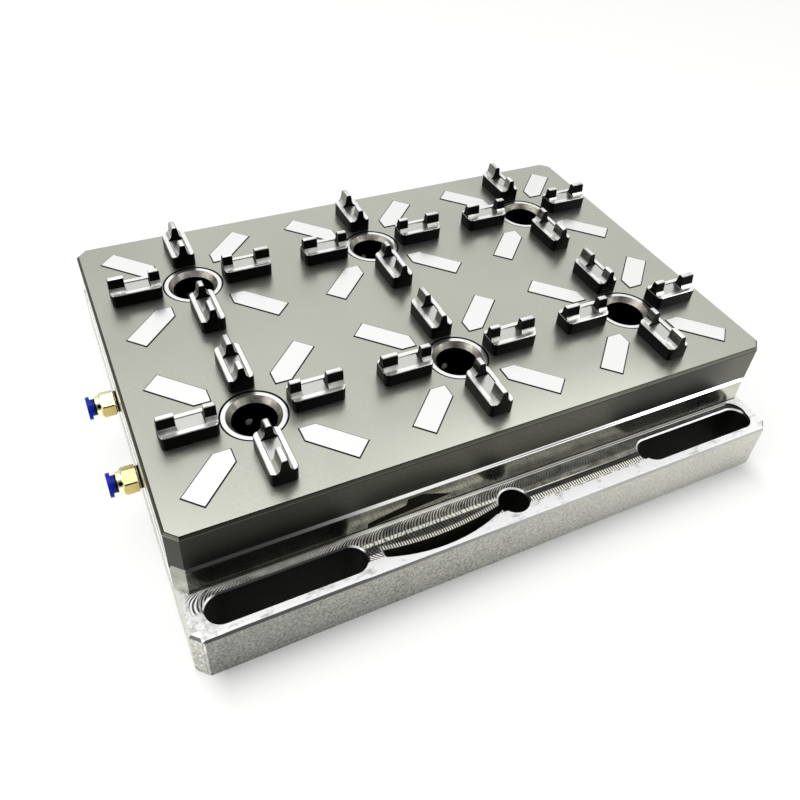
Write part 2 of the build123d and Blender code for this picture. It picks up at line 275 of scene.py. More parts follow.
def steel_group():
    """Fine lines along one direction plus faint clouds, both around zero to one."""
    group, outside = new_group("machined_lines", "Lines", "Clouds")
    group.interface.new_socket("Stretch", in_out="INPUT", socket_type="NodeSocketVector")
    group.interface.new_socket("Line Detail", in_out="INPUT", socket_type="NodeSocketFloat")
    group.interface.new_socket("Cloud Scale", in_out="INPUT", socket_type="NodeSocketFloat")
    inside = group.nodes.new("NodeGroupInput")
    place = group.nodes.new("ShaderNodeTexCoord")
    stretched = group.nodes.new("ShaderNodeVectorMath")
    stretched.operation = "MULTIPLY"
    lines = group.nodes.new("ShaderNodeTexNoise")
    lines.inputs["Scale"].default_value = 1.0
    clouds = group.nodes.new("ShaderNodeTexNoise")
    clouds.inputs["Detail"].default_value = 3.0
    link(group, place, "Object", stretched, 0)
    link(group, inside, "Stretch", stretched, 1)
    link(group, stretched, "Vector", lines, "Vector")
    link(group, inside, "Line Detail", lines, "Detail")
    link(group, place, "Object", clouds, "Vector")
    link(group, inside, "Cloud Scale", clouds, "Scale")
    link(group, lines, "Fac", outside, "Lines")
    link(group, clouds, "Fac", outside, "Clouds")
    return group


def station_group():
    """Millimetres from the nearest station's centre and its pads' outline, and along and across its posts.

    Turned is positive on the posts that lie along X and negative on the others."""
    group, outside = new_group("station_distances", "Radius", "Pad Edge", "Axial", "Lateral", "Turned")
    place = add_group(group, place_in_mm)
    offs = []
    for axis, plate_edge in (("X", plate_half_length), ("Y", plate_half_width)):
        from_edge = calc(group, "ADD", place.outputs[axis], plate_edge)
        in_field = calc(group, "MODULO", from_edge, station_pitch)
        offs.append(calc(group, "SUBTRACT", in_field, station_pitch / 2))
    across, along = offs
    first = calc(group, "ABSOLUTE", across)
    second = calc(group, "ABSOLUTE", along)
    turned = calc(group, "SUBTRACT", first, second)
    outwards = calc(group, "MULTIPLY", calc(group, "ADD", first, second), math.sqrt(0.5))
    sideways = calc(group, "MULTIPLY", calc(group, "ABSOLUTE", turned), math.sqrt(0.5))
    before_tip = calc(group, "SUBTRACT", calc(group, "ADD", sideways, pad_tip), outwards)
    tip = calc(group, "MULTIPLY", before_tip, math.sqrt(0.5))
    side = calc(group, "SUBTRACT", sideways, pad_half)
    end = calc(group, "SUBTRACT", outwards, pad_end)
    edge = calc(group, "MAXIMUM", calc(group, "MAXIMUM", side, end), tip)
    results = {"Radius": length_of(group, across, along), "Pad Edge": edge, "Turned": turned,
               "Axial": calc(group, "MAXIMUM", first, second),
               "Lateral": calc(group, "MINIMUM", first, second)}
    for name, result in results.items():
        group.links.new(result, outside.inputs[name])
    return group


place_in_mm = place_group()
machined_lines = steel_group()
station_distances = station_group()


def above(tree, feed, level, blur=0.02):
    """One where a value lies above a level, zero below it."""
    return ramp(tree, feed, 0.0, 1.0, level - blur, level + blur)


def below(tree, feed, level, blur=0.02):
    """One where a value lies below a level, zero above it."""
    return ramp(tree, feed, 1.0, 0.0, level - blur, level + blur)


def both(tree, first, second, *others):
    """The product of two or more masks."""
    mask = calc(tree, "MULTIPLY", first, second)
    for other in others:
        mask = calc(tree, "MULTIPLY", mask, other)
    return mask


def noise(tree, stretch, detail=2.0, roughness=0.5):
    """Noise around one half, with one scale for each axis."""
    place = tree.nodes.new("ShaderNodeTexCoord")
    stretched = tree.nodes.new("ShaderNodeVectorMath")
    stretched.operation = "MULTIPLY"
    stretched.inputs[1].default_value = stretch
    pattern = tree.nodes.new("ShaderNodeTexNoise")
    pattern.inputs["Scale"].default_value = 1.0
    pattern.inputs["Detail"].default_value = detail
    pattern.inputs["Roughness"].default_value = roughness
    link(tree, place, "Object", stretched, 0)
    link(tree, stretched, "Vector", pattern, "Vector")
    return pattern.outputs["Fac"]


def spread(tree, pattern, low=0.35, high=0.65):
    """Stretches the middle of a pattern to run from zero to one."""
    return ramp(tree, pattern, 0.0, 1.0, low, high)


def side_grain(tree):
    """The fine grain of the ground sides."""
    return spread(tree, noise(tree, (1500.0, 1500.0, 900.0), 2.0, 0.6))


def dimmed(tree, share, colour):
    """A colour that runs from black to its full strength."""
    return blend_colours(tree, share, (0.0, 0.0, 0.0), colour)


def blend_numbers(tree, feed, first, second):
    """A number between two others, which may be sockets or plain numbers."""
    node = tree.nodes.new("ShaderNodeMix")
    tree.links.new(feed, node.inputs["Factor"])
    for name, number in (("A", first), ("B", second)):
        if isinstance(number, (int, float)):
            node.inputs[name].default_value = number
        else:
            tree.links.new(number, node.inputs[name])
    return node.outputs["Result"]


def bump(tree, shader, feed, strength, distance):
    node = tree.nodes.new("ShaderNodeBump")
    node.inputs["Strength"].default_value = strength
    node.inputs["Distance"].default_value = distance
    tree.links.new(feed, node.inputs["Height"])
    link(tree, node, "Normal", shader, "Normal")


def shaded(colour, share):
    """The same colour, darker or lighter."""
    return tuple(c * share for c in colour)


def new_metal(name, metal=1.0):
    """A material with one metal shader on its output."""
    material, tree, output = new_material(name)
    shader = tree.nodes.new("ShaderNodeBsdfPrincipled")
    shader.inputs["Metallic"].default_value = metal
    link(tree, shader, "BSDF", output, "Surface")
    return material, tree, shader


def feed_shader(tree, shader, **feeds):
    """Connects sockets to the shader's named inputs."""
    for name, feed in feeds.items():
        tree.links.new(feed, shader.inputs[name.replace("_", " ")])


def steel(name, colour, roughness, depth=0.22, metal=1.0):
    """Plain machined steel with fine lines."""
    material, tree, shader = new_metal(name, metal)
    marks = add_group(tree, machined_lines, Stretch=(900.0, 60.0, 900.0), Line_Detail=3.0, Cloud_Scale=30.0)
    clouded = blend_colours(tree, marks.outputs["Clouds"], shaded(colour, 1.0 - depth), colour)
    lined = blend_colours(tree, marks.outputs["Lines"], clouded, colour)
    rough = ramp(tree, marks.outputs["Lines"], roughness * 0.85, roughness * 1.15)
    feed_shader(tree, shader, Base_Color=lined, Roughness=rough)
    bump(tree, shader, marks.outputs["Lines"], 0.3, 0.00001)
    return material


def dress(node_name, material):
    """Gives a CAD node its material."""
    mesh = nodes[node_name].data
    mesh.materials.clear()
    mesh.materials.append(material)


# Base plate: the milled steel plate with the bolt slots, which carries the whole stack.
# Its edges are sawn rough, its ledges are ground bright, and the gutter shows the end mill's arcs.
# Light and shade are painted on in many places: shade in the hollows and on the sides and bevels,
# highlights on the rims, the wall's foot and in the gutter.
saw_colour = (0.76, 0.76, 0.70)
ledge_colour = (0.92, 0.92, 0.905)
gutter_colour = (1.0, 0.99, 0.90)
rim_colour = (1.0, 1.0, 0.98)
hollow_shade_colour = (0.019, 0.018, 0.014)
pocket_shade_colour = (0.06, 0.058, 0.036)
bevel_colour = (0.80, 0.80, 0.76)
gutter_middle_y = -107.4
cutter_radius = 7.6
arc_step = 1.5
tooth_step = 1.2
comb_step = 1.35
glint_bead_step = 1.9
base_inside_x = 146.0
base_inside_y = 121.6
stack_half_width = 100.4
rim_low_z = 24.2
gutter_z = 25.2
ledge_z = 25.9
wall_foot_z = 25.0
gutter_left_end = -140.5
left_slot_end = -72.0
right_slot_start = 78.0
pocket_left_end = -66.0
hole_left = -7.0
hole_right = 8.5
pocket_middle_x = -39.0
pocket_back_y = -113.4
pocket_back_radius = 150.0
pocket_x = (-66.5, -6.0)
tooth_length = 2.1
left_slot_x = (-137.0, -77.0)
corner_arcs_x = (-146.5, -142.0)
corner_arcs_y = (-109.5, -98.0)
# Bands of the front ledge in Y: the gutter from the wall to its front edge, then the seam in the ledge
wall_line_y = -100.4
glint_streak_y = (-107.45, -105.75)
bank_y = (-108.7, -105.9)
lower_y = -107.6
highlight_line_y = (-108.8, -108.2)
shade_line_y = (-109.5, -108.8)
deep_shade_y = (-111.5, -108.85)
slot_side_y = -111.6
comb_y = -111.5
gutter_foot_y = -113.9
seam_y = (-115.25, -114.8)
seam_end = 72.0
highlight_line_end = 50.0
painted_light_wall_y = (-103.4, -99.8)


def cutter_group():
    """The marks of the end mill in the gutter's floor: arcs, straight teeth, and the pocket's distance."""
    group, outside = new_group("cutter_marks", "Arcs", "Teeth", "Comb", "From Pocket")
    place = add_group(group, place_in_mm)
    off_middle = calc(group, "SUBTRACT", place.outputs["Y"], gutter_middle_y)
    inside = calc(group, "SUBTRACT", cutter_radius ** 2, calc(group, "MULTIPLY", off_middle, off_middle))
    arc = calc(group, "SQRT", calc(group, "MAXIMUM", inside, 0.0))
    wander = calc(group, "MULTIPLY", noise(group, (200.0, 40.0, 40.0), 1.0), 1.6)
    along = calc(group, "ADD", calc(group, "ADD", place.outputs["X"], arc), wander)
    for name, feed, step in (("Arcs", along, arc_step), ("Teeth", place.outputs["X"], tooth_step),
                             ("Comb", place.outputs["X"], comb_step)):
        wave = calc(group, "SINE", calc(group, "MULTIPLY", feed, 2 * math.pi / step))
        group.links.new(ramp(group, wave, 0.0, 1.0, -0.7, 0.7), outside.inputs[name])
    across = calc(group, "SUBTRACT", place.outputs["X"], pocket_middle_x)
    along = calc(group, "SUBTRACT", place.outputs["Y"], pocket_back_y + pocket_back_radius)
    from_pocket = calc(group, "SUBTRACT", pocket_back_radius, length_of(group, across, along))
    group.links.new(from_pocket, outside.inputs["From Pocket"])
    return group


cutter_marks = cutter_group()


def between(tree, feed, low, high, blur=0.12):
    """One where a value lies between two levels."""
    return both(tree, above(tree, feed, low, blur), below(tree, feed, high, blur))


def gutter_tone(tree, x, y, marks):
    """How bright the gutter's floor is, from its arcs and its teeth, with a painted glint streak, painted
    highlight lines and painted shade.
    """
    arcs, teeth = marks.outputs["Arcs"], marks.outputs["Teeth"]
    right = above(tree, x, hole_right - 1.5, 2.0)
    by_slots = calc(tree, "MAXIMUM", below(tree, x, left_slot_end, 2.0),
                    above(tree, x, right_slot_start, 6.0))
    left_end = below(tree, x, gutter_left_end, 1.0)
    patches = ramp(tree, noise(tree, (150.0, 220.0, 50.0), 3.0, 0.6), 0.45, 1.55, 0.32, 0.68)

    upper = ramp(tree, arcs, 0.05, 0.62)
    upper = blend_numbers(tree, by_slots, upper, ramp(tree, arcs, 0.0, 0.85))
    cloudy = ramp(tree, arcs, 0.105, 0.17)
    cloudy = blend_numbers(tree, by_slots, cloudy, ramp(tree, arcs, 0.04, 0.10))
    upper = blend_numbers(tree, right, upper, cloudy)
    # Painted light: the floor is lighter towards the wall and darker away from it.
    upper = calc(tree, "MULTIPLY", upper, ramp(tree, y, 0.65, 1.35, *painted_light_wall_y))
    upper = blend_numbers(tree, left_end, upper, ramp(tree, arcs, 0.01, 0.75))
    tone = calc(tree, "MULTIPLY", upper, patches)
    # Painted highlight: a bright line along the wall, dimmer towards the left end.
    wall_line = above(tree, y, wall_line_y, 0.08)
    tone = blend_numbers(tree, wall_line, tone, ramp(tree, x, 0.30, 1.1, -85.0, -60.0))

    # Painted highlight: a beaded glint streak runs along the gutter from the left slot to the hole.
    shift = calc(tree, "MULTIPLY", noise(tree, (260.0, 260.0, 50.0), 2.0), 5.0)
    wave = calc(tree, "SINE", calc(tree, "MULTIPLY", calc(tree, "ADD", x, shift), 2 * math.pi / glint_bead_step))
    glint_beads = ramp(tree, wave, 0.25, 1.25, -0.9, -0.1)
    glint_streak_x = between(tree, x, left_slot_end, hole_left + 1.0, 0.5)
    glint_streak = both(tree, between(tree, y, *glint_streak_y, 0.3), glint_streak_x)
    tone = blend_numbers(tree, glint_streak, tone, glint_beads)
    bank = both(tree, right, between(tree, y, *bank_y, 0.35))
    bank_tone = calc(tree, "MULTIPLY", patches, ramp(tree, marks.outputs["Comb"], 0.17, 0.33))
    tone = blend_numbers(tree, bank, tone, bank_tone)
    # Painted highlight: a bright line right of the hole.
    highlight_line = both(tree, right, between(tree, y, *highlight_line_y, 0.1),
                       below(tree, x, highlight_line_end, 20.0))
    tone = blend_numbers(tree, highlight_line, tone, 0.9)

    # Painted shade: below the glint streak the floor left of the hole is dark.
    lower = below(tree, y, lower_y, 0.2)
    lower_left = both(tree, lower, below(tree, x, hole_left + 2.0, 1.0))
    lower_tone = calc(tree, "MULTIPLY", patches, ramp(tree, arcs, 0.02, 0.10))
    tone = blend_numbers(tree, lower_left, tone, lower_tone)
    by_pocket = both(tree, lower_left, below(tree, marks.outputs["From Pocket"], tooth_length, 0.35),
                     above(tree, x, pocket_left_end, 1.0))
    tone = blend_numbers(tree, by_pocket, tone, ramp(tree, teeth, 0.02, 0.85))
    by_left_slot = both(tree, below(tree, y, slot_side_y, 0.2), below(tree, x, pocket_left_end, 1.0))
    tone = blend_numbers(tree, by_left_slot, tone, ramp(tree, arcs, 0.0, 1.0))

    # Painted shade: a dark band and a darker line below the highlight line, right of the hole.
    deep_shade = both(tree, right, between(tree, y, *deep_shade_y, 0.15))
    tone = blend_numbers(tree, deep_shade, tone, calc(tree, "MULTIPLY", patches, 0.025))
    shade_line = both(tree, right, between(tree, y, *shade_line_y, 0.1))
    tone = blend_numbers(tree, shade_line, tone, 0.004)
    comb = both(tree, right, below(tree, y, comb_y, 0.2))
    tone = blend_numbers(tree, comb, tone, ramp(tree, marks.outputs["Comb"], 0.02, 1.0))
    foot = both(tree, right, below(tree, y, gutter_foot_y, 0.2))
    return blend_numbers(tree, foot, tone, 0.92)


def base_plate_steel():
    material, tree, shader = new_metal("milled_base_steel")
    place = add_group(tree, place_in_mm)
    marks = add_group(tree, cutter_marks)
    x, y, z = (place.outputs[name] for name in "XYZ")
    facing_up = place.outputs["Up"]
    up = above(tree, facing_up, 0.9)
    bevel = both(tree, above(tree, facing_up, 0.3), below(tree, facing_up, 0.9))

    grit = noise(tree, (760.0, 760.0, 620.0), 4.0, 0.75)
    cloud = noise(tree, (90.0, 90.0, 60.0), 2.0)
    gritty = spread(tree, grit, 0.36, 0.64)
    sawn = blend_colours(tree, gritty, shaded(saw_colour, 0.38), shaded(saw_colour, 1.12))
    sawn = blend_colours(tree, ramp(tree, cloud, 0.0, 0.25, 0.35, 0.65), sawn, shaded(saw_colour, 1.1))
    sawn = blend_colours(tree, ramp(tree, x, 0.0, 0.5, -40.0, 60.0), sawn, shaded(saw_colour, 0.86))
    # Painted light and shade on the sawn sides: the front darker towards the left end, the other sides
    # lighter, the corner bevels in between.
    front = below(tree, place.outputs["Forward"], -0.3)
    shade = blend_numbers(tree, front, 1.5, ramp(tree, x, 0.50, 1.06, -150.0, 110.0))
    corner = between(tree, place.outputs["Across"], -0.85, -0.3, 0.08)
    shade = blend_numbers(tree, corner, shade, 0.95)
    sawn = dimmed(tree, shade, sawn)
    # Painted shade on the bevels: darker towards the left and on the right, lighter where they face
    # forward.
    edge_left = ramp(tree, x, 0.20, 0.52, -85.0, 0.0)
    edge_shade = blend_numbers(tree, above(tree, x, 45.0, 20.0), edge_left, 0.36)
    edge_shade = blend_numbers(tree, front, 0.9, edge_shade)
    edge = dimmed(tree, edge_shade, bevel_colour)
    sawn = blend_colours(tree, bevel, sawn, edge)

    smear = noise(tree, (130.0, 260.0, 100.0), 4.0, 0.6)
    worn = spread(tree, smear, 0.30, 0.46)
    scratched = spread(tree, noise(tree, (330.0, 330.0, 100.0), 4.0, 0.65), 0.38, 0.56)
    at_left = below(tree, x, -139.0, 3.0)
    worn = blend_numbers(tree, at_left, worn, scratched)
    ground = blend_colours(tree, worn, shaded(ledge_colour, 0.55), ledge_colour)
    # Painted shade: the ledge is darker towards the left end.
    ground = dimmed(tree, ramp(tree, x, 0.84, 1.06, -120.0, 60.0), ground)
    broken = above(tree, noise(tree, (500.0, 100.0, 100.0), 2.0), 0.47, 0.05)
    seam = both(tree, between(tree, y, *seam_y, 0.08), between(tree, x, hole_right, seam_end, 1.0), broken)
    ground = blend_colours(tree, seam, ground, (0.10, 0.10, 0.09))
    at_end = both(tree, between(tree, x, *corner_arcs_x, 0.5), between(tree, y, *corner_arcs_y, 1.0))
    arc_tone = ramp(tree, marks.outputs["Arcs"], 0.01, 1.0)
    ground = blend_colours(tree, at_end, ground, dimmed(tree, arc_tone, rim_colour))

    tone = gutter_tone(tree, x, y, marks)
    milled = dimmed(tree, tone, gutter_colour)

    off_x = calc(tree, "ABSOLUTE", x)
    off_y = calc(tree, "ABSOLUTE", y)
    upright = below(tree, facing_up, 0.3)
    off_floor = above(tree, z, 0.2)
    inside = both(tree, below(tree, off_x, base_inside_x), below(tree, off_y, base_inside_y), off_floor)
    # Painted shade: below the rims the slots, holes and the pocket are painted near-black.
    deep_shade = both(tree, inside, below(tree, z, rim_low_z))
    slot_wall = both(tree, inside, upright, above(tree, off_y, stack_half_width))
    hollow_shade = calc(tree, "MAXIMUM", deep_shade, slot_wall)
    on_ledge = both(tree, up, above(tree, z, ledge_z))
    in_gutter = both(tree, up, above(tree, z, rim_low_z), below(tree, z, gutter_z))
    rim = both(tree, inside, bevel, above(tree, z, rim_low_z))
    # Painted highlight on the rims: bright where they face forward, dark elsewhere and by the left slot.
    by_left_slot = between(tree, x, *left_slot_x, 1.5)
    towards_front = below(tree, place.outputs["Forward"], -0.24, 0.08)
    rim_highlight_tone = blend_numbers(tree, by_left_slot, ramp(tree, towards_front, 0.03, 1.0), 0.05)
    painted_rim_highlight = dimmed(tree, rim_highlight_tone, rim_colour)
    # Painted highlight: the foot of the wall is a bright line, full between about x -62 and the hole,
    # dimmer elsewhere.
    wall_foot = both(tree, upright, above(tree, z, wall_foot_z, 0.05),
                     below(tree, off_y, stack_half_width), off_floor)
    colour = blend_colours(tree, on_ledge, sawn, ground)
    colour = blend_colours(tree, in_gutter, colour, milled)
    colour = blend_colours(tree, rim, colour, painted_rim_highlight)
    foot_left = ramp(tree, x, 0.40, 1.0, -85.0, -62.0)
    foot_tone = blend_numbers(tree, above(tree, x, hole_left, 2.0), foot_left, 0.42)
    colour = blend_colours(tree, wall_foot, colour, dimmed(tree, foot_tone, rim_colour))
    speck = ramp(tree, noise(tree, (900.0, 900.0, 900.0), 3.0, 0.7), 0.4, 1.8, 0.35, 0.7)
    in_pocket = both(tree, between(tree, x, *pocket_x, 0.3), above(tree, z, 4.0, 0.5))
    dark = blend_colours(tree, in_pocket, hollow_shade_colour, pocket_shade_colour)
    colour = blend_colours(tree, hollow_shade, colour, dimmed(tree, speck, dark))

    rough = blend_numbers(tree, on_ledge, blend_numbers(tree, bevel, 0.55, 0.42), 0.42)
    rough = blend_numbers(tree, in_gutter, rough, 0.34)
    metal = blend_numbers(tree, on_ledge, blend_numbers(tree, bevel, 0.85, 1.0), 0.35)
    metal = blend_numbers(tree, in_gutter, metal, ramp(tree, tone, 0.5, 0.25))
    metal = blend_numbers(tree, rim, metal, 0.3)
    metal = blend_numbers(tree, wall_foot, metal, 0.2)
    feed_shader(tree, shader, Base_Color=colour, Roughness=rough, Metallic=metal)
    relief = blend_numbers(tree, in_gutter, calc(tree, "MULTIPLY", grit, 1.6), marks.outputs["Arcs"])
    relief = blend_numbers(tree, on_ledge, relief, calc(tree, "MULTIPLY", smear, 0.3))
    bump(tree, shader, relief, 0.6, 0.00008)
    return material


dress("base_plate", base_plate_steel())


# Cylinder plate: the ground plate with the six air cylinders.
# Its sides are polished enough to mirror the ledge in front of them.
# Some of what the front mirrors is painted on: a dark reflection, the left slot's reflection and a bright
# line at the foot.
cylinder_colour = (0.62, 0.62, 0.54)
lit_cylinder_side_colour = (0.98, 0.98, 0.95)
cylinder_bevel_colour = (0.95, 0.95, 0.92)
foot_line_low = 27.35
foot_line_high = 28.25
foot_bright_top = 27.05
foot_reflection_dark = (0.015, 0.015, 0.013)
foot_highlight_colour = (1.0, 1.0, 0.95)
foot_line_colour = (0.004, 0.004, 0.003)
slot_mirror_right = -77.5
bevel_line_low = 40.75
bevel_line_high = 41.15
# A painted dark reflection with crisp edges: its left end, its step, its flat top and its two slopes
patch_left = -67.6
patch_step = -49.2
patch_low = (28.0, 0.097)
patch_rise = (31.2, 0.204)
patch_top = 38.75
patch_fall = (11.6, 0.444)
painted_reflection_dark = (0.012, 0.0115, 0.006)


def painted_dark_reflection(tree, x, z):
    """The mask of the painted dark reflection on the front face, from straight lines in X and height."""
    from_left = calc(tree, "SUBTRACT", x, patch_left)
    low = calc(tree, "ADD", calc(tree, "MULTIPLY", from_left, patch_low[1]), patch_low[0])
    rise = calc(tree, "ADD", calc(tree, "MULTIPLY", from_left, patch_rise[1]), patch_rise[0])
    fall = calc(tree, "ADD", calc(tree, "MULTIPLY", from_left, -patch_fall[1]), patch_top + patch_fall[0])
    right_top = calc(tree, "MINIMUM", fall, patch_top)
    high = blend_numbers(tree, above(tree, x, patch_step, 0.4), rise, right_top)
    under = below(tree, calc(tree, "SUBTRACT", z, high), 0.0, 0.12)
    over = above(tree, calc(tree, "SUBTRACT", z, low), 0.0, 0.12)
    return both(tree, above(tree, x, patch_left, 0.15), under, over)


def cylinder_plate_steel():
    material, tree, shader = new_metal("polished_cylinder_steel")
    place = add_group(tree, place_in_mm)
    x, z = place.outputs["X"], place.outputs["Z"]
    facing_up, forward = place.outputs["Up"], place.outputs["Forward"]
    front = below(tree, forward, -0.9)
    bevel = both(tree, above(tree, facing_up, 0.3), below(tree, facing_up, 0.9))
    left = below(tree, place.outputs["Across"], -0.9)
    cloud = spread(tree, noise(tree, (60.0, 60.0, 160.0), 4.0, 0.6))
    grain = side_grain(tree)
    colour = blend_colours(tree, cloud, shaded(cylinder_colour, 0.82), cylinder_colour)
    colour = blend_colours(tree, ramp(tree, grain, 0.0, 0.4), colour, shaded(cylinder_colour, 0.62))
    # Painted light: the left side is a much lighter copy of the steel.
    colour = blend_colours(tree, left, colour, lit_cylinder_side_colour)
    # Painted reflection: a dark shape on the front face.
    patch = both(tree, front, painted_dark_reflection(tree, x, z))
    colour = blend_colours(tree, patch, colour, painted_reflection_dark)
    # Painted reflection of the left slot: the front is darker left of x -77.5.
    by_slot = both(tree, front, below(tree, x, slot_mirror_right, 0.6))
    colour = blend_colours(tree, ramp(tree, by_slot, 0.0, 0.72), colour, painted_reflection_dark)
    # Painted shade on the bevel: darker towards the left end and on the corner, where the corner face is a
    # darker mottled copy.
    corner = between(tree, place.outputs["Across"], -0.85, -0.3, 0.08)
    bevel_tone = blend_numbers(tree, corner, ramp(tree, x, 0.40, 1.0, -84.0, -60.0), 0.14)
    mottled = blend_colours(tree, cloud, shaded(cylinder_colour, 0.45), shaded(cylinder_colour, 0.80))
    colour = blend_colours(tree, corner, colour, mottled)
    to_right = ramp(tree, x, 0.0, 0.72, -30.0, 20.0)
    bevel_line = both(tree, between(tree, z, bevel_line_low, bevel_line_high), to_right)
    bevel_tone = blend_numbers(tree, bevel_line, bevel_tone, 0.0)
    edge = dimmed(tree, bevel_tone, cylinder_bevel_colour)
    colour = blend_colours(tree, bevel, colour, edge)
    # Painted highlight: a bright line at the foot of the front, painted dark where the left slot's
    # reflection lies.
    foot = both(tree, front, below(tree, z, foot_bright_top, 0.1))
    foot_line = both(tree, front, between(tree, z, foot_line_low, foot_line_high, 0.1))
    foot_colour = blend_colours(tree, above(tree, x, slot_mirror_right, 6.0), foot_reflection_dark, foot_highlight_colour)
    colour = blend_colours(tree, foot, colour, foot_colour)
    colour = blend_colours(tree, foot_line, colour, foot_line_colour)
    rough = blend_numbers(tree, bevel, ramp(tree, grain, 0.18, 0.24), 0.14)
    rough = blend_numbers(tree, calc(tree, "MAXIMUM", patch, foot_line), rough, 0.6)
    metal = ramp(tree, foot, 1.0, 0.15)
    feed_shader(tree, shader, Base_Color=colour, Roughness=rough, Metallic=metal)
    bump(tree, shader, cloud, 0.15, 0.00001)
    return material


dress("cylinder_plate", cylinder_plate_steel())


# Top plate: hardened steel, ground all over, with bright pads left a little higher.
# A fine dark line of painted shade runs round each pad, the front is painted dark as a dark reflection, and
# the bevel has two fine lines.
top_colour = (0.545, 0.552, 0.485)
top_front_colour = (0.115, 0.115, 0.092)
lit_top_left_colour = (0.68, 0.68, 0.64)
top_edge_colour = (0.075, 0.075, 0.058)
pad_colour = (0.98, 0.98, 0.965)
line_colour = (0.02, 0.02, 0.018)
face_level = 63.0
pad_level = 63.2
pad_line = 0.42
pad_line_inside = -0.16
edge_lines = ((60.9, 61.35), (62.72, 63.1))
edge_glint = (61.75, 62.1)


def top_plate_steel():
    material, tree, shader = new_metal("ground_top_steel")
    place = add_group(tree, place_in_mm)
    distances = add_group(tree, station_distances)
    marks = add_group(tree, machined_lines, Stretch=(700.0, 900.0, 60.0), Line_Detail=4.0, Cloud_Scale=14.0)
    x, z = place.outputs["X"], place.outputs["Z"]
    up = above(tree, place.outputs["Up"], 0.9)
    clouded = blend_colours(tree, spread(tree, marks.outputs["Clouds"]),
                            shaded(top_colour, 0.90), shaded(top_colour, 1.04))
    lined = spread(tree, marks.outputs["Lines"], 0.3, 0.7)
    face = blend_colours(tree, lined, shaded(top_colour, 0.94), clouded)
    # Painted shade and light: the face is darker towards the left end and lighter near the front edge.
    face = dimmed(tree, ramp(tree, x, 0.92, 1.0, -140.0, -90.0), face)
    by_front = both(tree, below(tree, place.outputs["Y"], -86.0, 12.0), above(tree, x, -45.0, 35.0),
                    below(tree, x, 90.0, 20.0))
    face = blend_colours(tree, ramp(tree, by_front, 0.0, 0.85), face, shaded(top_colour, 1.42))

    grain = side_grain(tree)
    # Painted shade: the front is darkest at the left end and between about x 64 and 124, lighter elsewhere.
    share = ramp(tree, x, 0.26, 0.70, -105.0, -52.0)
    share = blend_numbers(tree, above(tree, x, 64.0, 12.0), share, 0.38)
    share = blend_numbers(tree, above(tree, x, 124.0, 10.0), share, 0.92)
    shade = calc(tree, "MULTIPLY", ramp(tree, grain, 0.72, 1.1), share)
    front = dimmed(tree, shade, top_front_colour)
    # Painted light: the left side is a much lighter copy of the steel than the front.
    left = blend_colours(tree, grain, shaded(lit_top_left_colour, 0.85), lit_top_left_colour)
    side = blend_colours(tree, below(tree, place.outputs["Across"], -0.9), front, left)
    # Painted shade and highlight on the bevel: dark, with a painted glint line, and darker still towards
    # the right.
    side = blend_colours(tree, above(tree, z, edge_lines[0][1], 0.08), side, top_edge_colour)
    side = blend_colours(tree, between(tree, z, *edge_glint, 0.08), side, shaded(top_edge_colour, 1.45))
    for low, high in edge_lines:
        side = blend_colours(tree, between(tree, z, low, high, 0.08), side, line_colour)
    darker_edge = both(tree, above(tree, z, edge_lines[0][0]), ramp(tree, x, 0.0, 0.6, 45.0, 75.0))
    side = blend_colours(tree, darker_edge, side, line_colour)

    whole = blend_colours(tree, up, side, face)
    on_pad = both(tree, up, above(tree, z, pad_level))
    # Painted shade: a fine dark line round each pad's foot on the face, and round the pad's own edge.
    beside = both(tree, above(tree, z, face_level - 0.2),
                  below(tree, distances.outputs["Pad Edge"], pad_line, 0.08))
    whole = blend_colours(tree, beside, whole, line_colour)
    pad_rim = above(tree, distances.outputs["Pad Edge"], pad_line_inside, 0.06)
    pad = blend_colours(tree, pad_rim, pad_colour, line_colour)
    whole = blend_colours(tree, on_pad, whole, pad)
    rough = blend_numbers(tree, on_pad, ramp(tree, marks.outputs["Lines"], 0.26, 0.34), 0.25)
    feed_shader(tree, shader, Base_Color=whole, Roughness=rough)
    bump(tree, shader, marks.outputs["Lines"], 0.25, 0.000006)
    return material


dress("top_plate", top_plate_steel())


# Cages: hardened sleeves in the six bores, with a ground ring face and a conical mouth.
# They are pressed into the base plate, and their bores are painted near-black as shade.
ring_colour = (0.97, 0.97, 0.95)
mouth_colour = (0.46, 0.44, 0.38)
bore_shade_colour = (0.010, 0.010, 0.009)
ring_level = 62.5
mouth_low = 58.0
ring_inside = 12.3
ring_outside = 14.25


def cage_material():
    material, tree, shader = new_metal("ground_cage_steel")
    place = add_group(tree, place_in_mm)
    distances = add_group(tree, station_distances)
    radius = distances.outputs["Radius"]
    up = place.outputs["Up"]
    on_ring = both(tree, above(tree, up, 0.9), above(tree, place.outputs["Z"], ring_level),
                   above(tree, radius, ring_inside, 0.06), below(tree, radius, ring_outside, 0.06))
    in_mouth = both(tree, above(tree, up, 0.3), below(tree, up, 0.9),
                    above(tree, place.outputs["Z"], mouth_low))
    patches = spread(tree, noise(tree, (230.0, 230.0, 230.0), 3.0, 0.6), 0.38, 0.62)
    mouth = blend_colours(tree, patches, shaded(mouth_colour, 0.45), mouth_colour)
    colour = blend_colours(tree, in_mouth, bore_shade_colour, mouth)
    colour = blend_colours(tree, on_ring, colour, ring_colour)
    feed_shader(tree, shader, Base_Color=colour, Roughness=blend_numbers(tree, in_mouth, 0.25, 0.40))
    return material


cage_steel = cage_material()
for number in range(1, 7):
    dress(f"pin_cage_{number}", cage_steel)


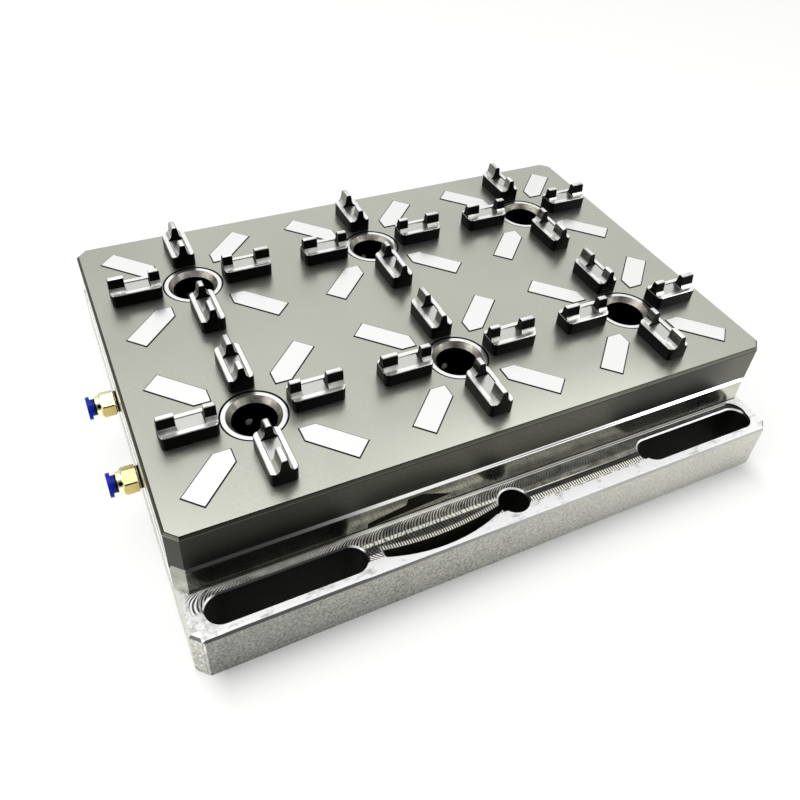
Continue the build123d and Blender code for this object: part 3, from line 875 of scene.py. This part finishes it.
# Seal rings: one round each cage, pressed in between the cage and the top plate.
# They are moulded from black rubber and keep chips and coolant out of the stack.
def plain(name, colour, roughness, metal=0.0):
    """A dark or moulded finish with a faint mottle."""
    material, tree, shader = new_metal(name, metal)
    marks = add_group(tree, machined_lines, Stretch=(600.0, 600.0, 600.0), Line_Detail=2.0,
                      Cloud_Scale=200.0)
    mottled = blend_colours(tree, marks.outputs["Clouds"], shaded(colour, 0.75), colour)
    rough = ramp(tree, marks.outputs["Clouds"], roughness * 0.85, roughness * 1.15)
    feed_shader(tree, shader, Base_Color=mottled, Roughness=rough)
    return material


dress("bore_seals", plain("black_rubber", (0.006, 0.006, 0.006), 0.6))


# Pistons, locking pins and screws: the steel parts inside the stack.
# The pistons are turned, the pins are ground and polished, and the black screws come in from below.
piston_steel = steel("turned_piston_steel", (0.45, 0.45, 0.46), 0.3)
pin_steel = steel("polished_pin_steel", (1.0, 1.0, 0.98), 0.3, depth=0.0, metal=0.2)
screw_steel = plain("black_screw_steel", (0.03, 0.03, 0.03), 0.4, metal=1.0)
for number in range(1, 7):
    dress(f"piston_{number}", piston_steel)
for number in range(1, 4):
    dress(f"locking_pins_{number}", pin_steel)
dress("stack_screws", screw_steel)


# Centring posts: hardened steel blocks, blackened and then ground bright on top.
# Each has two rails along its edges, a lower floor between them and a crowned rib at each end.
post_start = 16.0
post_length = 24.5
post_half = 6.0
post_height = 7.0
post_corner = 2.25
inner_rib = 5.0
outer_rib = 7.5
post_edge = 0.3
post_floor = 6.6
post_arc_steps = 6
rail_inner = 3.7
# Half of a rib's outline, from the outside in: distance from the middle and height
rib_profile = ((3.0, 7.5), (2.35, 8.3), (2.05, 9.0), (1.45, 12.9), (1.2, 13.35), (0.85, 13.58))
rib_crown = 13.6
rib_end_drop = 0.35
rib_end_run = 0.5
post_smooth_angle = 22.0


def post_profile(half_width, rib_share):
    """Points across a post from one foot over the top to the other foot."""
    inner = min(rail_inner, half_width - post_edge - 0.05)
    half = [(-half_width, 0.0), (-half_width, post_height - post_edge),
            (-half_width + post_edge, post_height), (-inner, post_height)]
    level = post_floor if rib_share == 0 else post_height
    half.append((-inner + 0.04, level))
    for across, up in rib_profile:
        rib_height = post_height + (up - post_height) * rib_share
        half.append((-across, rib_height if rib_share else level))
    crown_height = post_height + (rib_crown - post_height) * rib_share
    crown = [(0.0, crown_height if rib_share else level)]
    other = [(-across, up) for across, up in reversed(half)]
    return half + crown + other


def post_sections():
    """Places along the post, each with its half width and the share of the rib's height there."""
    ends = []
    for step in range(post_arc_steps + 1):
        turn = math.pi / 2 * step / post_arc_steps
        along = post_corner * (1 - math.cos(turn))
        fall = max(0.0, 1.0 - along / rib_end_run) * rib_end_drop / (rib_crown - post_height)
        ends.append((along, post_half - post_corner * (1 - math.sin(turn)), 1.0 - fall))
    sections = ends + [(inner_rib, post_half, 1.0), (inner_rib, post_half, 0)]
    sections += [(post_length - outer_rib, post_half, 0), (post_length - outer_rib, post_half, 1.0)]
    for along, half_width, share in reversed(ends):
        sections.append((post_length - along, half_width, share))
    return sections


def post_mesh():
    """One post on the X axis, standing on the plate's face."""
    made = bmesh.new()
    rows = []
    for along, half_width, share in post_sections():
        rows.append([made.verts.new((post_start + along, across, face_level + up))
                     for across, up in post_profile(half_width, share)])
    for first, second in zip(rows, rows[1:]):
        count = len(first)
        for k in range(count):
            after = (k + 1) % count
            made.faces.new((first[k], first[after], second[after], second[k]))
    made.faces.new(rows[0])
    made.faces.new(list(reversed(rows[-1])))
    bmesh.ops.remove_doubles(made, verts=made.verts, dist=0.0005)
    bmesh.ops.dissolve_degenerate(made, edges=made.edges, dist=0.0005)
    bmesh.ops.recalc_face_normals(made, faces=made.faces)
    bmesh.ops.dissolve_limit(made, angle_limit=math.radians(1), verts=made.verts, edges=made.edges)
    return made


def finish_piece(name, made, material, body="chuck_body"):
    """Turns a bmesh in millimetres into a piece that rides on a body."""
    bmesh.ops.transform(made, matrix=Matrix.Scale(MM, 4), verts=made.verts)
    mesh = bpy.data.meshes.new(name)
    made.to_mesh(mesh)
    made.free()
    mesh.materials.append(material)
    piece = bpy.data.objects.new(name, mesh)
    bpy.context.scene.collection.objects.link(piece)
    mesh.shade_smooth()
    mesh.set_sharp_from_angle(angle=math.radians(post_smooth_angle))
    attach(piece, body)
    return piece


black_colour = (0.001, 0.001, 0.0006)
lit_flank_colour = (0.17, 0.17, 0.155)
floor_steel_colour = (0.70, 0.70, 0.66)
slope_colour = (0.66, 0.66, 0.62)
bright_colour = (0.98, 0.98, 0.96)
flank_level = 71.6
crown_level = 76.28
floor_low = 69.4
floor_high = 69.8
floor_outline = 0.3


def post_steel():
    """Black sides, bright where the grinding wheel has passed over the top, with painted light on the
    left-facing rib flanks and painted shade round the floor.
    """
    material, tree, shader = new_metal("blackened_post_steel")
    marks = add_group(tree, machined_lines, Stretch=(1500.0, 1500.0, 300.0), Line_Detail=3.0,
                      Cloud_Scale=260.0)
    place = add_group(tree, place_in_mm)
    distances = add_group(tree, station_distances)
    z, facing_up = place.outputs["Z"], place.outputs["Up"]
    axial, lateral = distances.outputs["Axial"], distances.outputs["Lateral"]
    patches = spread(tree, marks.outputs["Clouds"], 0.36, 0.60)
    slope = blend_colours(tree, patches, shaded(slope_colour, 0.62), slope_colour)
    level = above(tree, facing_up, 0.9)
    on_rail = both(tree, level, above(tree, z, floor_high))
    tops = blend_colours(tree, on_rail, slope, bright_colour)
    on_floor = both(tree, level, between(tree, z, floor_low, floor_high, 0.03))
    dull_floor = shaded(floor_steel_colour, 0.85)
    floor_steel = blend_colours(tree, marks.outputs["Lines"], dull_floor, floor_steel_colour)
    tops = blend_colours(tree, on_floor, tops, floor_steel)
    # Painted shade: a black line round the floor, where it meets the rails and ribs.
    near_rail = both(tree, above(tree, lateral, rail_inner - floor_outline, 0.06),
                     below(tree, distances.outputs["Turned"], 0.0))
    near_inner = below(tree, axial, post_start + inner_rib + floor_outline, 0.06)
    near_outer = above(tree, axial, post_start + post_length - outer_rib - floor_outline, 0.06)
    outline = calc(tree, "MAXIMUM", near_rail, calc(tree, "MAXIMUM", near_inner, near_outer))
    tops = blend_colours(tree, both(tree, on_floor, outline), tops, black_colour)
    # Painted light: the rib flanks that face left are lighter than the black sides.
    flank = both(tree, above(tree, z, flank_level, 0.1), below(tree, distances.outputs["Turned"], 0.0),
                 below(tree, place.outputs["Across"], -0.4, 0.1))
    sides = blend_colours(tree, flank, black_colour, lit_flank_colour)
    on_flank = between(tree, z, flank_level, crown_level, 0.12)
    ground = calc(tree, "SUBTRACT", above(tree, facing_up, 0.32, 0.05), on_flank)
    rail_wall = both(tree, between(tree, z, floor_low + 0.2, face_level + post_height, 0.05),
                     below(tree, lateral, rail_inner + 0.1), above(tree, distances.outputs["Turned"], 0.0))
    ground = calc(tree, "MAXIMUM", ground, rail_wall)
    colour = blend_colours(tree, ground, sides, tops)
    rough = blend_numbers(tree, ground, blend_numbers(tree, flank, 0.40, 0.22), 0.28)
    metal = calc(tree, "MAXIMUM", ground, flank)
    feed_shader(tree, shader, Base_Color=colour, Roughness=rough, Metallic=metal)
    shader.inputs["Specular IOR Level"].default_value = 0.05
    bump(tree, shader, marks.outputs["Lines"], 0.2, 0.00001)
    return material


blackened = post_steel()
stations = [((column - 1) * station_pitch, (row - 0.5) * station_pitch)
            for row in range(2) for column in range(3)]
for number, (x, y) in enumerate(stations, start=1):
    whole = bmesh.new()
    for quarter in range(4):
        one = post_mesh()
        turn = Matrix.Translation((x, y, 0.0)) @ Matrix.Rotation(math.pi / 2 * quarter, 4, "Z")
        bmesh.ops.transform(one, matrix=turn, verts=one.verts)
        carrier = bpy.data.meshes.new("post_carrier")
        one.to_mesh(carrier)
        one.free()
        whole.from_mesh(carrier)
        bpy.data.meshes.remove(carrier)
    posts = finish_piece(f"posts_of_station_{number}", whole, blackened)
    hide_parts(f"centring_posts_{number}")


# Air fittings: pale brass bodies with blue release collars, screwed into the left side.
# Two thin black washers with a bright ring between them seal each one.
brass_colour = (0.91, 0.85, 0.43)
shoulder_colour = (0.98, 0.97, 0.68)
shoulder_start = -158.0
shaded_front_flat_colour = (0.62, 0.50, 0.20)
corner_line_colour = (0.03, 0.012, 0.003)
hole_shade_colour = (0.008, 0.003, 0.0005)
hole_shade_places = ((-158.75, -44.6, 38.36), (-158.75, 5.4, 38.36))
hole_shade_radius = 1.15
# The lower corner in front: its place in Y for both fittings, its height, and where its dark line runs
corner_places = (-45.5, 4.5)
corner_height = 37.68
corner_line = (-158.0, -151.9)
collar_colour = (0.005, 0.018, 0.36)
collar_gap_start = -160.9
washer_black_and_gap_shade = (0.001, 0.001, 0.001)
washer_ring = (0.95, 1.10)
washer_ring_colour = (0.80, 0.76, 0.55)


def fitting_material():
    material, tree, shader = new_metal("pale_brass")
    place = add_group(tree, place_in_mm)
    marks = add_group(tree, machined_lines, Stretch=(900.0, 300.0, 300.0), Line_Detail=3.0,
                      Cloud_Scale=260.0)
    colour = blend_colours(tree, spread(tree, marks.outputs["Clouds"]),
                           shaded(brass_colour, 0.78), brass_colour)
    up, forward = place.outputs["Up"], place.outputs["Forward"]
    # Painted shade: the flat on top at the back and the flat in front are darker copies of the brass.
    back_flat = both(tree, above(tree, up, 0.8), above(tree, forward, 0.35))
    front_flat = below(tree, forward, -0.93)
    colour = blend_colours(tree, back_flat, colour, shaded(brass_colour, 0.60))
    colour = blend_colours(tree, front_flat, colour, shaded_front_flat_colour)
    colour = blend_colours(tree, below(tree, place.outputs["X"], shoulder_start), colour, shoulder_colour)
    for corner_y in corner_places:
        off_y = calc(tree, "ABSOLUTE", calc(tree, "SUBTRACT", place.outputs["Y"], corner_y))
        off_z = calc(tree, "ABSOLUTE", calc(tree, "SUBTRACT", place.outputs["Z"], corner_height))
        line = both(tree, below(tree, calc(tree, "ADD", off_y, off_z), 0.5, 0.1),
                    between(tree, place.outputs["X"], *corner_line))
        colour = blend_colours(tree, line, colour, corner_line_colour)
    # Painted shade: a dark round spot on each body stands for the shade in a small hole.
    for speck in hole_shade_places:
        offs = [calc(tree, "SUBTRACT", place.outputs[axis], value) for axis, value in zip("XYZ", speck)]
        in_hole_shade = below(tree, length_of(tree, *offs), hole_shade_radius, 0.05)
        colour = blend_colours(tree, in_hole_shade, colour, hole_shade_colour)
    feed_shader(tree, shader, Base_Color=colour)
    shader.inputs["Roughness"].default_value = 0.26
    bump(tree, shader, marks.outputs["Lines"], 0.2, 0.00001)
    return material


def washer_material():
    material, tree, shader = new_metal("black_washer", 0.0)
    place = add_group(tree, place_in_mm)
    from_plate = calc(tree, "SUBTRACT", -plate_half_length, place.outputs["X"])
    ring = between(tree, from_plate, *washer_ring, 0.04)
    colour = blend_colours(tree, ring, washer_black_and_gap_shade, washer_ring_colour)
    feed_shader(tree, shader, Base_Color=colour, Metallic=ring)
    shader.inputs["Roughness"].default_value = 0.5
    shader.inputs["Specular IOR Level"].default_value = 0.05
    return material


def collar_material():
    """Deep blue plastic, with painted shade in the gap where the collar goes into the body."""
    material, tree, shader = new_metal("blue_collar_plastic", 0.0)
    place = add_group(tree, place_in_mm)
    # Painted shade: the end of the collar in the body's gap is black.
    gap = above(tree, place.outputs["X"], collar_gap_start, 0.08)
    feed_shader(tree, shader, Base_Color=blend_colours(tree, gap, collar_colour, washer_black_and_gap_shade))
    shader.inputs["Roughness"].default_value = 0.30
    shader.inputs["Specular IOR Level"].default_value = 0.12
    return material


fitting_brass = fitting_material()
collar_blue = collar_material()
dress("fitting_gaskets", washer_material())
for end in ("front", "back"):
    dress(f"fitting_body_{end}", fitting_brass)
    dress(f"release_collar_{end}", collar_blue)
